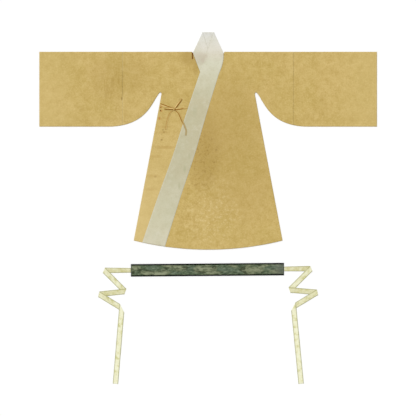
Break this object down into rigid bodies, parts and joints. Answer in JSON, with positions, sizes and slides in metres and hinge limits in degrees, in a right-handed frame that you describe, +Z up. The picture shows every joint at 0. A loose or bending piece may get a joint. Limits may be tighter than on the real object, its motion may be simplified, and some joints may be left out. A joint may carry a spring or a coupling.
{
  "type": "hanfu robe with waist belt",
  "caption": "Cross-collared hanfu robe with wide round-bottomed sleeves, a broad pale collar and a side bow, laid flat above its own sash belt with folded ribbons.",
  "frame": {"origin": "centre of the set's footprint on the surface it lies on", "axes": "+Z up off the surface; +Y towards the neck; +X towards the wearer's left sleeve; the front faces up"},
  "size_m": [2.16, 2.2529, 0.0096],
  "materials": {
    "robe_cloth": "straw-gold plain-woven cloth, matt with a faint sheen",
    "collar_cloth": "off-white plain-woven cloth, doubled and pressed",
    "tie_cloth": "straw-gold cloth, narrow and folded",
    "belt_brocade": "muted green and grey-olive brocade",
    "belt_binding": "near-black green binding",
    "belt_ribbon": "pale yellow silk ribbon"
  },
  "bodies": {
    "root": {"body_left": "robe_cloth", "body_right": "robe_cloth", "sleeve_left": "robe_cloth", "sleeve_right": "robe_cloth", "collar": "collar_cloth", "tie_side": "tie_cloth", "tie_front": "tie_cloth", "bow_tail_left": "tie_cloth", "bow_tail_right": "tie_cloth", "bow_loop_left": "tie_cloth", "bow_loop_right": "tie_cloth", "bow_knot": "tie_cloth", "belt_field": "belt_brocade", "belt_edge_top": "belt_binding", "belt_edge_bottom": "belt_binding", "belt_ribbon_left": "belt_ribbon", "belt_ribbon_right": "belt_ribbon"}
  },
  "joints": []
}
